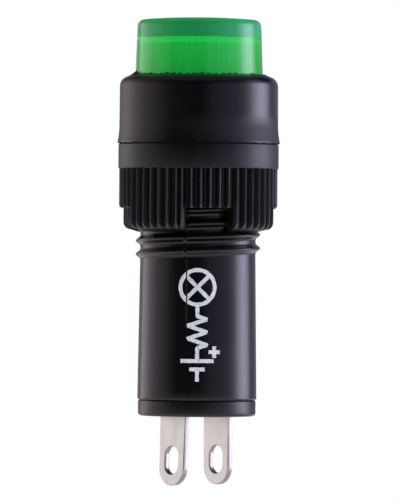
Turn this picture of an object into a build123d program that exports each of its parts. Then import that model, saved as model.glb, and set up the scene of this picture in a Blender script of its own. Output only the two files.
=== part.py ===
from build123d import *
import math
import os

# Panel pilot light, in millimetres.
# The origin is on the axis, on the underside of the head that seats on the panel.
# +Z points out of the panel to the lens, and -Y is the side that the lamp is seen from.

# Head of the housing
head_height = 5.37
head_top_diameter = 12.46
head_draft = 0.35            # degrees, on the head's straight side
head_crown_slope = 16.0      # degrees, from the lip round the lens outwards
head_corner = 1.05           # radius of the head's upper edge
head_corner_flats = 4        # flats that stand for it
flare_diameter = 12.8        # foot of the head, where it meets the gasket
flare_height = 1.45
flare_middle = 0.42          # share of its height where it is a third of the way out

# Barrel of the housing
barrel_length = 20.22
barrel_root_diameter = 9.08  # at the thread's root
barrel_end_diameter = 9.38   # the plain end widens a little
barrel_end_corner = 0.16
barrel_wall = 0.94

# Threaded length of the barrel, plain here at the thread's crests
thread_major_diameter = 9.8
thread_end = 8.9             # distance of the thread's lower end from the head

# Lens
lens_diameter = 10.02        # in the head's mouth
lens_top_diameter = 9.7
lens_top = 9.85
lens_dome = 0.22
lens_corner = 0.5
lens_corner_flats = 3        # flats that stand for it
lens_bore_diameter = 6.5
lens_bore_corner = 0.4
lens_end_wall = 1.58
lens_seat_height = 1.2       # height of the shoulder that the lens stands on
lens_seat_clearance = 0.05
lens_bead_height = 0.5
lens_bead_lift = 0.75        # from the seat to the bead's middle
lens_bead_depth = 0.16

# Gasket
gasket_thickness = 0.1
gasket_diameter = 12.5
gasket_clearance = 0.1       # round the thread

# Mounting nut
nut_height = 6.72
nut_collar_height = 1.95
nut_collar_diameter = 12.62
nut_collar_corner = 0.08
nut_rib_diameter = 12.44
nut_rib_depth = 0.42
nut_rib_count = 52
nut_rib_crest = 0.2          # width of a rib at its crest
nut_rib_foot = 0.46          # width of a rib at its foot
nut_end_corner = 0.62        # rounding of the nut's open end
nut_end_flats = 3            # flats that stand for it
nut_bore_chamfer = 0.25
nut_thread_clearance = 0.09
nut_notch_count = 4
nut_notch_depth = 1.65
nut_notch_ribs = 6           # ribs that each notch cuts short
nut_notch_angle = 5.0        # degrees right of the front, where the first notch is centred

# Base plug
plug_diameter = 9.26
plug_height = 1.26
plug_corner = 0.26
plug_seam = 0.08
plug_spigot_depth = 2.9
plug_fit = 0.04

# Terminals
terminal_width = 2.8
terminal_thickness = 0.5
terminal_reach = 5.45
terminal_spacing = 4.76      # between the blades' middle planes
terminal_turn = 44.5         # degrees, the blades are turned about Z
terminal_tail_width = 1.3
terminal_tail_rise = 2.2     # above the plug's spigot
terminal_slot_width = 1.4
terminal_slot_height = 2.2
terminal_slot_margin = 0.9   # from the slot to the blade's tip
terminal_lean = 2.0          # degrees, the negative blade is bent outwards a little
terminal_fit = 0.02

# Light-emitting diode
led_diameter = 5.0
led_flange_diameter = 5.8
led_flange_height = 1.0
led_height = 8.6
led_dome_flats = 4           # flats that stand for its round end
led_flange_flat = 0.4
led_lead_size = 0.5
led_lead_pitch = 2.54
led_post_rise = 3.6          # height of the posts inside the epoxy
led_cup_diameter = 1.3
led_cup_height = 0.9
led_cup_bore = 0.8
led_cup_depth = 0.4
led_die_size = 0.36
led_die_height = 0.2
led_anode_length = 3.6       # below the diode's base
led_flag_width = 0.9
led_bend_rise = 0.9          # from the terminal's tail to the cathode lead's lower bend
led_bend_height = 1.3        # between the cathode lead's two bends

# Holder of the diode
holder_height = 2.2
holder_fit = 0.04

# Resistor
resistor_diameter = 1.8
resistor_waist_diameter = 1.5
resistor_length = 3.4
resistor_cap_length = 0.8
resistor_top = 8.2           # distance below the head
resistor_lead_diameter = 0.5
resistor_corner = 0.25
splice_overlap = 1.6

# Sleeves and solder
sleeve_wall = 0.18
sleeve_clearance = 0.06
sleeve_end_gap = 0.4
solder_skin = 0.3
solder_corner = 0.2
solder_height = 1.5
solder_end_gap = 0.2         # from the tail's end to the solder
lead_bend_radius = 0.9
lead_contact_gap = 0.04      # solder between a lead and its terminal's tail


def turned(part):
    """Turn a part from the terminals' own axes to the lamp's axes."""
    return Rot(0, 0, 90 - terminal_turn) * part


def wedge(radius, half_angle, bottom, top, middle_angle):
    """Upright wedge about the axis, used to cut a notch."""
    reach = radius / math.cos(math.radians(half_angle))
    first = math.radians(middle_angle - half_angle)
    last = math.radians(middle_angle + half_angle)
    outline = Polyline(
        (0, 0),
        (reach * math.cos(first), reach * math.sin(first)),
        (reach * math.cos(last), reach * math.sin(last)),
        close=True,
    )
    return Pos(0, 0, bottom) * extrude(make_face(outline), top - bottom)


def round_flats(centre, radius, first, last, flats):
    """Points of an arc from one angle to another, for a rounding that is drawn as flats."""
    turns = [math.radians(first + (last - first) * step / flats) for step in range(flats + 1)]
    return [(centre[0] + radius * math.cos(turn), centre[1] + radius * math.sin(turn)) for turn in turns]


def housing_bore():
    """Inside radius of the barrel."""
    return barrel_root_diameter / 2 - barrel_wall


def make_housing():
    """Head and barrel in one moulding, revolved from one profile."""
    head_radius = head_top_diameter / 2
    seat = lens_diameter / 2 + lens_seat_clearance
    # The crown falls from the lens to where the rounding takes over.
    slope = math.radians(head_crown_slope)
    crown_end = head_radius - head_corner * (1 - math.sin(slope))
    crown_drop = (crown_end - seat) * math.tan(slope)
    side_top = head_height - crown_drop - head_corner * math.cos(slope)
    rounding = round_flats(
        (head_radius - head_corner, side_top), head_corner, 90 - head_crown_slope, 0, head_corner_flats
    )
    shoulder_radius = head_radius + (side_top - flare_height) * math.tan(math.radians(head_draft))
    flare = ThreePointArc(
        (shoulder_radius, flare_height),
        ((shoulder_radius * 2 + flare_diameter / 2) / 3, flare_height * flare_middle),
        (flare_diameter / 2, 0),
    )
    root = barrel_root_diameter / 2
    crest = thread_major_diameter / 2
    end = barrel_end_diameter / 2
    groove_middle = lens_seat_height + lens_bead_lift
    groove_half = lens_bead_height / 2 + lens_seat_clearance
    outline = Curve() + [
        Polyline((seat, head_height), *rounding, flare @ 0),
        flare,
        Polyline(
            flare @ 1,
            (crest, 0),
            (crest, -thread_end + crest - root),
            (root, -thread_end),
            (end, -barrel_length + barrel_end_corner),
            (end - barrel_end_corner, -barrel_length),
            (housing_bore(), -barrel_length),
            (housing_bore(), lens_seat_height),
            (seat, lens_seat_height),
            (seat, groove_middle - groove_half),
            (seat + lens_bead_depth, groove_middle),
            (seat, groove_middle + groove_half),
            (seat, head_height),
        ),
    ]
    return revolve(Plane.XZ * make_face(outline), Axis.Z)


def make_lens():
    """Green lens: tapered, with a domed end, a retaining bead and a blind bore."""
    radius = lens_diameter / 2
    top_radius = lens_top_diameter / 2
    bore = lens_bore_diameter / 2
    bore_top = lens_top - lens_end_wall
    bead_middle = lens_seat_height + lens_bead_lift
    bead_radius = radius + lens_bead_depth - lens_seat_clearance
    dome_edge = top_radius - lens_corner
    rounding = round_flats(
        (dome_edge, lens_top - lens_dome - lens_corner), lens_corner, 90, 0, lens_corner_flats
    )
    dome = ThreePointArc((-dome_edge, lens_top - lens_dome), (0, lens_top), rounding[0])
    half_dome = dome.trim(0.5, 1.0)
    outline = Curve() + [
        half_dome,
        Polyline(
            half_dome @ 1,
            *rounding[1:],
            (radius, head_height),
            (radius, bead_middle + lens_bead_height / 2),
            (bead_radius, bead_middle),
            (radius, bead_middle - lens_bead_height / 2),
            (radius, lens_seat_height),
            (bore, lens_seat_height),
            (bore, bore_top - lens_bore_corner),
            (bore - lens_bore_corner, bore_top),
            (0, bore_top),
            half_dome @ 0,
        ),
    ]
    return revolve(Plane.XZ * make_face(outline), Axis.Z)


def make_gasket():
    """Thin ring between the head and the nut."""
    hole = thread_major_diameter / 2 + gasket_clearance
    ring = Cylinder(gasket_diameter / 2, gasket_thickness) - Cylinder(hole, gasket_thickness)
    return Pos(0, 0, -gasket_thickness / 2) * ring


def make_nut():
    """Ribbed and castellated nut."""
    top = -gasket_thickness
    bottom = top - nut_height
    foot_radius = nut_rib_diameter / 2 - nut_rib_depth
    crest_radius = nut_rib_diameter / 2
    rib_pitch = 360 / nut_rib_count
    # The front is -Y, so an angle right of the front is counted from there.
    notch_middle = nut_notch_angle - 90

    rib = Polyline(
        (foot_radius - nut_rib_foot / 2, -nut_rib_foot / 2),
        (foot_radius, -nut_rib_foot / 2),
        (crest_radius, -nut_rib_crest / 2),
        (crest_radius, nut_rib_crest / 2),
        (foot_radius, nut_rib_foot / 2),
        (foot_radius - nut_rib_foot / 2, nut_rib_foot / 2),
        close=True,
    )
    ribs = [
        Rot(0, 0, notch_middle + rib_pitch * (index + 0.5)) * make_face(rib)
        for index in range(nut_rib_count)
    ]
    ribbed = Circle(foot_radius) + ribs
    shaft = Pos(0, 0, bottom) * extrude(ribbed, nut_height - nut_collar_height)
    # The open end is rounded over the ribs.
    rounding = round_flats(
        (crest_radius - nut_end_corner, bottom + nut_end_corner), nut_end_corner, -90, 0, nut_end_flats
    )
    blank = Polyline((0, bottom), *rounding, (crest_radius, top), (0, top), close=True)
    shaft = shaft & revolve(Plane.XZ * make_face(blank), Axis.Z)
    collar = Pos(0, 0, top - nut_collar_height / 2) * Cylinder(nut_collar_diameter / 2, nut_collar_height)
    collar = chamfer(collar.edges().filter_by(GeomType.CIRCLE), nut_collar_corner)
    nut = shaft + collar

    bore_radius = thread_major_diameter / 2 + nut_thread_clearance
    nut -= Pos(0, 0, bottom + nut_height / 2) * Cylinder(bore_radius, nut_height)
    nut -= Pos(0, 0, top - nut_bore_chamfer / 2) * Cone(
        bore_radius, bore_radius + nut_bore_chamfer, nut_bore_chamfer
    )

    half_notch = nut_notch_ribs * rib_pitch / 2
    for index in range(nut_notch_count):
        middle = notch_middle + index * 360 / nut_notch_count
        nut -= wedge(nut_collar_diameter, half_notch, bottom, bottom + nut_notch_depth, middle)
    return nut


def plug_top():
    """Height of the plug's inner face."""
    return -barrel_length + plug_spigot_depth


def make_plug():
    """Plug that closes the barrel and holds the two blades."""
    radius = plug_diameter / 2
    spigot = housing_bore() - plug_fit
    bottom = -barrel_length - plug_height
    outline = Polyline(
        (0, bottom),
        (radius - plug_corner, bottom),
        (radius, bottom + plug_corner),
        (radius, -barrel_length - plug_seam),
        (radius - plug_seam, -barrel_length),
        (spigot, -barrel_length),
        (spigot, plug_top()),
        (0, plug_top()),
        close=True,
    )
    plug = revolve(Plane.XZ * make_face(outline), Axis.Z)
    for side in (-1, 1):
        slot = Box(
            terminal_thickness + 2 * terminal_fit,
            terminal_width + 2 * terminal_fit,
            plug_height + plug_spigot_depth,
            align=(Align.CENTER, Align.CENTER, Align.MIN),
        )
        plug -= turned(Pos(side * terminal_spacing / 2, 0, -barrel_length - plug_height) * slot)
    return plug


def make_terminal(side, lean):
    """Solder blade with a slot, a stem in the plug and a narrow tail inside."""
    tip = -barrel_length - plug_height - terminal_reach
    exit_height = -barrel_length - plug_height
    half = terminal_width / 2
    blade_outline = Curve() + [
        Line((-half, exit_height), (-half, tip + half)),
        ThreePointArc((-half, tip + half), (0, tip), (half, tip + half)),
        Line((half, tip + half), (half, exit_height)),
        Line((half, exit_height), (-half, exit_height)),
    ]
    slot_middle = tip + terminal_slot_margin + terminal_slot_height / 2
    blade_face = make_face(blade_outline)
    blade_face -= Pos(0, slot_middle) * SlotOverall(
        terminal_slot_height, terminal_slot_width, rotation=90
    )
    blade = extrude(Plane.YZ * blade_face, terminal_thickness / 2, both=True)
    stem = Pos(0, 0, exit_height) * Box(
        terminal_thickness,
        terminal_width,
        plug_height + plug_spigot_depth,
        align=(Align.CENTER, Align.CENTER, Align.MIN),
    )
    tail = Pos(0, 0, plug_top()) * Box(
        terminal_thickness,
        terminal_tail_width,
        terminal_tail_rise,
        align=(Align.CENTER, Align.CENTER, Align.MIN),
    )
    bent = Pos(0, 0, exit_height) * Rot(0, side * lean, 0) * Pos(0, 0, -exit_height) * blade
    return turned(Pos(side * terminal_spacing / 2, 0, 0) * (bent + stem + tail))


def led_base():
    """Height of the diode's lower face."""
    return lens_seat_height - holder_height - led_flange_height


def contact_line():
    """Distance from the axis of a lead that lies against a terminal's tail."""
    return terminal_spacing / 2 - terminal_thickness / 2 - lead_contact_gap - resistor_lead_diameter / 2


def make_led_body():
    """Epoxy body: flange with a flat, straight side and round end, hollow for its leads."""
    base = led_base()
    radius = led_diameter / 2
    dome_start = base + led_height - radius
    outline = Polyline(
        (0, base),
        (led_flange_diameter / 2, base),
        (led_flange_diameter / 2, base + led_flange_height),
        (radius, base + led_flange_height),
        *round_flats((0, dome_start), radius, 0, 90, led_dome_flats),
        close=True,
    )
    body = revolve(Plane.XZ * make_face(outline), Axis.Z)
    flat = Pos(-led_flange_diameter + led_flange_flat, 0, base) * Box(
        led_flange_diameter,
        led_flange_diameter,
        led_flange_height,
        align=(Align.CENTER, Align.CENTER, Align.MIN),
    )
    return turned(body - flat - anode_shape() - cathode_shape() - die_shape())


def anode_shape():
    """Anode lead, with its flag inside the epoxy and a short leg below."""
    base = led_base()
    leg_height = led_anode_length + led_post_rise
    leg = Pos(led_lead_pitch / 2, 0, base - led_anode_length) * Box(
        led_lead_size, led_lead_size, leg_height, align=(Align.CENTER, Align.CENTER, Align.MIN)
    )
    flag = Pos(led_lead_pitch / 2 + led_lead_size / 2, 0, base + led_post_rise) * Box(
        led_flag_width, led_lead_size, led_lead_size, align=(Align.MAX, Align.CENTER, Align.MAX)
    )
    return leg + flag


def cathode_shape():
    """Cathode lead, with the cup that holds the die and a leg bent out to its terminal."""
    base = led_base()
    inner = -led_lead_pitch / 2
    outer = -contact_line()
    bend_bottom = plug_top() + terminal_tail_rise + led_bend_rise
    bend_top = bend_bottom + led_bend_height
    leg_end = plug_top() + terminal_tail_rise - solder_height
    path = FilletPolyline(
        (inner, 0, base + led_post_rise),
        (inner, 0, bend_top),
        (outer, 0, bend_bottom),
        (outer, 0, leg_end),
        radius=lead_bend_radius,
    )
    section = Pos(inner, 0, base + led_post_rise) * Rectangle(led_lead_size, led_lead_size)
    leg = sweep(section, path=path)
    cup_outer = Pos(0, 0, base + led_post_rise) * Cylinder(
        led_cup_diameter / 2, led_cup_height, align=(Align.CENTER, Align.CENTER, Align.MIN)
    )
    bridge = Pos(inner - led_lead_size / 2, 0, base + led_post_rise) * Box(
        -inner + led_lead_size / 2,
        led_lead_size,
        led_lead_size,
        align=(Align.MIN, Align.CENTER, Align.MIN),
    )
    recess = Pos(0, 0, base + led_post_rise + led_cup_height - led_cup_depth) * Cone(
        led_die_size, led_cup_bore / 2, led_cup_depth, align=(Align.CENTER, Align.CENTER, Align.MIN)
    )
    return leg + bridge + cup_outer - recess


def die_shape():
    """Light-emitting die in its cup."""
    height = led_base() + led_post_rise + led_cup_height - led_cup_depth
    return Pos(0, 0, height) * Box(
        led_die_size, led_die_size, led_die_height, align=(Align.CENTER, Align.CENTER, Align.MIN)
    )


def make_holder():
    """Ring that carries the diode in the top of the barrel."""
    top = lens_seat_height
    ring = Pos(0, 0, top - holder_height / 2) * Cylinder(housing_bore() - holder_fit, holder_height)
    hole = Pos(0, 0, top - holder_height / 2) * Cylinder(led_diameter / 2 + holder_fit, holder_height)
    return ring - hole


def make_resistor_body():
    """Coated body with a swollen end over each cap."""
    half = resistor_length / 2
    radius = resistor_diameter / 2
    waist = resistor_waist_diameter / 2
    neck = half - resistor_cap_length
    outline = Polyline(
        (0, half),
        (radius - resistor_corner, half),
        (radius, half - resistor_corner),
        (radius, neck + radius - waist),
        (waist, neck),
        (waist, -neck),
        (radius, -neck - radius + waist),
        (radius, -half + resistor_corner),
        (radius - resistor_corner, -half),
        (0, -half),
        close=True,
    )
    body = revolve(Plane.XZ * make_face(outline), Axis.Z)
    return turned(Pos(contact_line(), 0, -resistor_top - half) * body)


def make_resistor_lead(start, end):
    """Straight round lead between two heights."""
    wire = Pos(contact_line(), 0, end) * Cylinder(
        resistor_lead_diameter / 2, start - end, align=(Align.CENTER, Align.CENTER, Align.MIN)
    )
    return turned(wire)


def make_sleeve(offset, hole, top, bottom):
    """Insulating tube round a lead."""
    tube = Cylinder(hole + sleeve_wall, top - bottom) - Cylinder(hole, top - bottom)
    return turned(Pos(offset, 0, (top + bottom) / 2) * tube)


def make_solder(first, second, half_width, top, bottom, *wires):
    """Bead of solder over two wires that lie side by side."""
    bead = Box(second - first + 2 * solder_skin, 2 * half_width, top - bottom)
    bead = chamfer(bead.edges(), solder_corner)
    bead = turned(Pos((first + second) / 2, 0, (top + bottom) / 2) * bead)
    for wire in wires:
        bead -= wire
    return bead


def build():
    """Every named piece of the lamp."""
    half_lead = resistor_lead_diameter / 2
    upper_lead_top = led_base() - led_anode_length + splice_overlap
    resistor_end = -resistor_top - resistor_length
    tail_top = plug_top() + terminal_tail_rise
    solder_bottom = tail_top - solder_height
    solder_span = (tail_top - solder_end_gap, solder_bottom + solder_end_gap)
    square_reach = led_lead_size * math.sqrt(2) / 2

    parts = {
        "housing": make_housing(),
        "lens": make_lens(),
        "gasket": make_gasket(),
        "mounting_nut": make_nut(),
        "base_plug": make_plug(),
        "terminal_positive": make_terminal(1, 0),
        "terminal_negative": make_terminal(-1, terminal_lean),
        "led_body": make_led_body(),
        "led_die": turned(die_shape()),
        "led_anode_lead": turned(anode_shape()),
        "led_cathode_lead": turned(cathode_shape()),
        "led_holder": make_holder(),
        "resistor_body": make_resistor_body(),
        "resistor_upper_lead": make_resistor_lead(upper_lead_top, -resistor_top),
        "resistor_lower_lead": make_resistor_lead(resistor_end, solder_bottom),
        "positive_lead_sleeve": make_sleeve(
            contact_line(),
            half_lead + sleeve_clearance,
            resistor_end - sleeve_end_gap,
            tail_top + sleeve_end_gap,
        ),
        "negative_lead_sleeve": make_sleeve(
            -led_lead_pitch / 2,
            square_reach + sleeve_clearance,
            led_base() - sleeve_end_gap,
            resistor_end,
        ),
    }
    tail_outer = terminal_spacing / 2 + terminal_thickness / 2
    half_width = terminal_tail_width / 2 + solder_skin / 2
    parts["splice_solder"] = make_solder(
        led_lead_pitch / 2 - led_lead_size / 2,
        contact_line() + half_lead,
        led_lead_size / 2 + solder_skin,
        upper_lead_top,
        led_base() - led_anode_length,
        parts["led_anode_lead"],
        parts["resistor_upper_lead"],
    )
    parts["positive_solder"] = make_solder(
        contact_line() - half_lead,
        tail_outer,
        half_width,
        *solder_span,
        parts["resistor_lower_lead"],
        parts["terminal_positive"],
    )
    parts["negative_solder"] = make_solder(
        -tail_outer,
        -contact_line() + half_lead,
        half_width,
        *solder_span,
        parts["led_cathode_lead"],
        parts["terminal_negative"],
    )
    return parts


os.makedirs("parts", exist_ok=True)
for name, part in build().items():
    export_step(part, f"parts/{name}.step")
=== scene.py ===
import math

import bmesh
import bpy
import numpy as np
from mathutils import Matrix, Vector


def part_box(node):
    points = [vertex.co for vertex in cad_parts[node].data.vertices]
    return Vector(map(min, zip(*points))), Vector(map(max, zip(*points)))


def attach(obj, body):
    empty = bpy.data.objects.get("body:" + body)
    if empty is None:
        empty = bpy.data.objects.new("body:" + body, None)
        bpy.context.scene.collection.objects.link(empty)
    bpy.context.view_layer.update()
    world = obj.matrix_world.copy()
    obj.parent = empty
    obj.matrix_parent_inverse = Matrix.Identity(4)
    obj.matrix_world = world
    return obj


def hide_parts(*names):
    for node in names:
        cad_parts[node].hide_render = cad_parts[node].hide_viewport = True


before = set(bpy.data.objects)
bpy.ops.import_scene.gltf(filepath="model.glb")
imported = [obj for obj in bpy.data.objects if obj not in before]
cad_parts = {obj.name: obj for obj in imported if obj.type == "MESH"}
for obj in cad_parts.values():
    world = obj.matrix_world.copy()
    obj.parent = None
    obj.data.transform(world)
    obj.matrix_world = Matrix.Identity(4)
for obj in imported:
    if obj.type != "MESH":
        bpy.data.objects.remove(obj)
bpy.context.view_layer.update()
scene = bpy.context.scene
mm = 0.001
print("frame loaded:", len(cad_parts), "nodes")


# Shared helpers: colour, nodes, surfaces

def linearColor(code):
    # sRGB hex to linear light, channel by channel
    srgb = np.array([int(code[i:i + 2], 16) for i in (1, 3, 5)]) / 255
    linear = np.where(srgb <= 0.04045, srgb / 12.92, ((srgb + 0.055) / 1.055) ** 2.4)
    return (*linear.tolist(), 1.0)


def patternScale(sizeMm):
    # texture scale that makes one feature sizeMm wide on Object coordinates
    return 1 / (sizeMm * mm)


def addNode(tree, kind, settings=None, links=None):
    # one node: settings are its properties or unlinked sockets, with colours in hex,
    # and links are socket: (node, output)
    node = tree.nodes.new(kind)
    for key, value in (settings or {}).items():
        if isinstance(value, str) and value.startswith("#"):
            value = linearColor(value)
        if isinstance(key, str) and hasattr(node, key):
            setattr(node, key, value)
        else:
            node.inputs[key].default_value = value
    for key, (source, output) in (links or {}).items():
        tree.links.new(source.outputs[output], node.inputs[key])
    return node


def startMaterial(name):
    material = bpy.data.materials.new(name)
    material.use_nodes = True
    tree = material.node_tree
    tree.nodes.clear()
    where = addNode(tree, "ShaderNodeTexCoord")
    return material, tree, where


def roundedPath(corners, steps=6):
    # corners are (r, z, radius): each arc is tangent to both sides, its centre on the bisector
    points = [corners[0][:2]]
    for before, corner, after in zip(corners, corners[1:], corners[2:]):
        here = np.array(corner[:2], float)
        if corner[2] <= 0:
            points.append(tuple(here))
            continue
        toBefore = np.array(before[:2]) - here
        toAfter = np.array(after[:2]) - here
        toBefore = toBefore / np.linalg.norm(toBefore)
        toAfter = toAfter / np.linalg.norm(toAfter)
        half = math.acos(float(np.clip(toBefore @ toAfter, -1, 1))) / 2
        bisector = (toBefore + toAfter) / np.linalg.norm(toBefore + toAfter)
        centre = here + bisector * corner[2] / math.sin(half)
        start = here + toBefore * corner[2] / math.tan(half) - centre
        end = here + toAfter * corner[2] / math.tan(half) - centre
        turn = math.atan2(start[0] * end[1] - start[1] * end[0], start @ end)
        for step in np.linspace(0, turn, steps):
            points.append((
                centre[0] + start[0] * math.cos(step) - start[1] * math.sin(step),
                centre[1] + start[0] * math.sin(step) + start[1] * math.cos(step),
            ))
    points.append(corners[-1][:2])
    return np.array(points, float)


def buildSurface(name, grid, wrapRows=True, wrapColumns=True, poles=(), attributes=None, slots=None,
                 sharpAngle=38, seam=None):
    # quads between neighbours of a (rows, columns, 3) grid in millimetres; a pole row becomes one point;
    # seam says which row each row meets where the last column closes on the first
    rows, columns = grid.shape[:2]
    index = np.arange(rows * columns).reshape(rows, columns)
    for row in poles:
        index[row, :] = index[row, 0]
    lastRow = rows if wrapRows else rows - 1
    lastColumn = columns if wrapColumns else columns - 1
    right = np.roll(index, -1, 1)
    below = np.roll(index, -1, 0)
    if seam is not None:
        right[:, -1] = index[seam, 0]
    corner = np.roll(right, -1, 0)
    quads = np.stack([index, right, corner, below], -1)[:lastRow, :lastColumn].reshape(-1, 4)
    points = grid.reshape(-1, 3)
    # the signed volume says whether the faces look outwards
    a, b, c, d = (points[quads[:, k]] for k in range(4))
    volume = np.einsum("ij,ij->", a, np.cross(b, c)) + np.einsum("ij,ij->", a, np.cross(c, d))
    if volume < 0:
        quads = quads[:, ::-1]
    # points that share one place become one: a quad that loses a side by it is left as a triangle, and one
    # that loses two goes
    _, first, same = np.unique(np.round(points, 5), axis=0, return_index=True, return_inverse=True)
    quads = first[same.reshape(-1)][quads]
    used, inverse = np.unique(quads, return_inverse=True)
    quads = inverse.reshape(-1, 4)
    differs = quads != np.roll(quads, 1, 1)
    sides = differs.sum(1)
    kept = sides > 2
    sides = sides[kept]
    mesh = bpy.data.meshes.new(name)
    mesh.vertices.add(len(used))
    mesh.vertices.foreach_set("co", (points[used] * mm).reshape(-1).astype(np.float32))
    mesh.loops.add(int(sides.sum()))
    mesh.loops.foreach_set("vertex_index", quads[kept][differs[kept]].astype(np.int32))
    mesh.polygons.add(len(sides))
    mesh.polygons.foreach_set("loop_start", (np.cumsum(sides) - sides).astype(np.int32))
    mesh.update(calc_edges=True)
    for key, values in (attributes or {}).items():
        layer = mesh.attributes.new(key, "FLOAT", "POINT")
        layer.data.foreach_set("value", values.reshape(-1)[used].astype(np.float32))
    if slots is not None:
        slotList = slots[:lastRow, :lastColumn].reshape(-1).astype(np.int32)[kept]
        mesh.polygons.foreach_set("material_index", slotList)
    mesh.polygons.foreach_set("use_smooth", np.ones(len(sides), bool))
    mesh.set_sharp_from_angle(angle=math.radians(sharpAngle))
    mesh.update()
    piece = bpy.data.objects.new(name, mesh)
    scene.collection.objects.link(piece)
    return piece


def spread(values, columns):
    # one value for each row, the same in every column
    return np.repeat(values[:, None], columns, 1)


def turned(radius, turn, heights):
    # radius, angle and height to a grid of points: x = r cos, y = r sin
    return np.stack([radius * np.cos(turn), radius * np.sin(turn), heights], -1)


def spinProfile(profile, angles):
    # a (r, z) profile carried round Z
    radius = spread(profile[:, 0], len(angles))
    return turned(radius, angles[None, :], spread(profile[:, 1], len(angles)))


def fullTurn(columns):
    # even angles all the way round
    return np.linspace(0, 2 * math.pi, columns, endpoint=False)


def bell(offset, width):
    # one at the middle, falling evenly to nothing on both sides
    return np.exp(-(offset / width) ** 2)


def smoothNoise(values, seed, octaves=3):
    # sum of sines with fixed, unrelated phases: ragged, repeatable and periodic in nothing short
    total = np.zeros_like(values)
    for k in range(octaves):
        total += np.sin(values * (1.0 + 1.7 * k) + seed * (3.1 + k * 1.3)) / (1 + k)
    return total / sum(1 / (1 + k) for k in range(octaves))


def place(piece, body, nodes, slot, *materials):
    for material in materials:
        piece.data.materials.append(material)
    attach(piece, body)
    if nodes:
        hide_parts(*nodes)


# Camera, light and floor

view = {
    "distance": 460.0,      # mm, a long lens well back
    "height": -10.0,        # the photograph's horizon against the head's underside
    "aside": 0.18,
    "pixelsPerMm": 12.7,
    "pitch": 0.196,         # degrees upwards
    "roll": -0.42,          # degrees, the lamp leans a little clockwise
    "imageHeight": 500, "sensor": 36.0, "clip": (0.01, 20.0),
}
cameraData = bpy.data.cameras.new("camera")
cameraData.sensor_width = view["sensor"]
cameraData.lens = view["pixelsPerMm"] * view["distance"] * view["sensor"] / view["imageHeight"]
cameraData.clip_start, cameraData.clip_end = view["clip"]
camera = bpy.data.objects.new("camera", cameraData)
scene.collection.objects.link(camera)
camera.location = (view["aside"] * mm, -view["distance"] * mm, view["height"] * mm)
camera.rotation_mode = "XYZ"
camera.rotation_euler = (math.radians(90 + view["pitch"]), math.radians(view["roll"]), 0)
scene.camera = camera
scene.view_settings.view_transform = "Standard"

# A light tent stands round the lamp. Its levels are (degrees from the camera, to the right, and the
# brightness there), and its rows are (height in mm, share of the level there).
tent = {
    "radius": 220.0, "top": 190.0, "columns": 360,
    "rows": [(-59, 1.0), (60, 1.0), (95, 0.25), (190, 0.12)],
    "roof": 0.22,
    "levels": [
        (-180, 0.36), (-142, 0.4), (-137, 1.7), (-122, 1.75), (-112, 1.5), (-104, 1.2), (-90, 0.85),
        (-76, 0.66), (-64, 0.45), (-54, 0.22), (-44, 0.06), (0, 0.05), (9, 0.07), (19, 0.28), (38, 0.45),
        (60, 0.6), (72, 1.0), (79, 1.9), (86, 4.2), (95, 6.1), (105, 6.0), (113, 3.8), (121, 1.5),
        (126, 0.4), (180, 0.36),
    ],
    "warmSide": "#FFF2FD", "coolSide": "#E6DFFF",    # a grey card would show the same faint casts
    "castMiddle": 0.4, "castSpread": 60.0,           # the share of the cool one in front, degrees to change
}


def makeTent():
    # A wall and a flat roof carried round the lamp; brightness = share(height) x level(angle) + roof.
    t = tent
    angles = np.linspace(-180, 180, t["columns"], endpoint=False)
    levels = np.array(t["levels"], float)
    rows = np.array(t["rows"], float)
    side = np.stack([np.full(len(rows), t["radius"]), rows[:, 0]], 1)
    profile = np.concatenate([side, [[t["radius"] - 1, t["top"]], [0.0, t["top"]]]])
    share = np.concatenate([rows[:, 1], [0.0, 0.0]])
    roof = np.concatenate([np.zeros(len(rows)), [t["roof"], t["roof"]]])
    level = np.interp(angles, levels[:, 0], levels[:, 1])
    glow = share[:, None] * level[None, :] + roof[:, None]
    cool = np.clip(angles / t["castSpread"] + t["castMiddle"], 0, 1)
    return buildSurface("lightTent", spinProfile(profile, np.radians(angles - 90)), wrapRows=False,
                        poles=(len(profile) - 1,),
                        attributes={"glow": glow, "cool": np.repeat(cool[None, :], len(profile), 0)})


def tentCloth():
    # White cloth lit from behind, a little warmer on the left.
    material, tree, where = startMaterial("tentCloth")
    glow = addNode(tree, "ShaderNodeAttribute", {"attribute_name": "glow"})
    cool = addNode(tree, "ShaderNodeAttribute", {"attribute_name": "cool"})
    cast = addNode(tree, "ShaderNodeMix", {"data_type": "RGBA", 6: tent["warmSide"], 7: tent["coolSide"]},
                   {0: (cool, "Fac")})
    emit = addNode(tree, "ShaderNodeEmission", None, {"Strength": (glow, "Fac"), "Color": (cast, 2)})
    addNode(tree, "ShaderNodeOutputMaterial", None, {"Surface": (emit, 0)})
    return material


tentPiece = makeTent()
tentPiece.data.materials.append(tentCloth())
tentPiece.visible_camera = False

studio = {
    "depth": -60.0, "size": 8000.0,       # the floor, mm
    "near": 40.0, "far": 400.0,           # mm from the lamp: the floor pales between them
    "nearShare": 0.72, "floor": "#F2F2F2", "sky": "#F4F6F8", "skyLevel": 0.8,
}


def seenShare(tree):
    # one for rays straight from the camera, by a reflection or through the lens, so they meet plain white
    rays = addNode(tree, "ShaderNodeLightPath")
    direct = addNode(tree, "ShaderNodeMath", {"operation": "MAXIMUM"},
                     {0: (rays, "Is Camera Ray"), 1: (rays, "Is Transmission Ray")})
    return addNode(tree, "ShaderNodeMath", {"operation": "MAXIMUM"},
                   {0: (direct, 0), 1: (rays, "Is Glossy Ray")})


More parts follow.
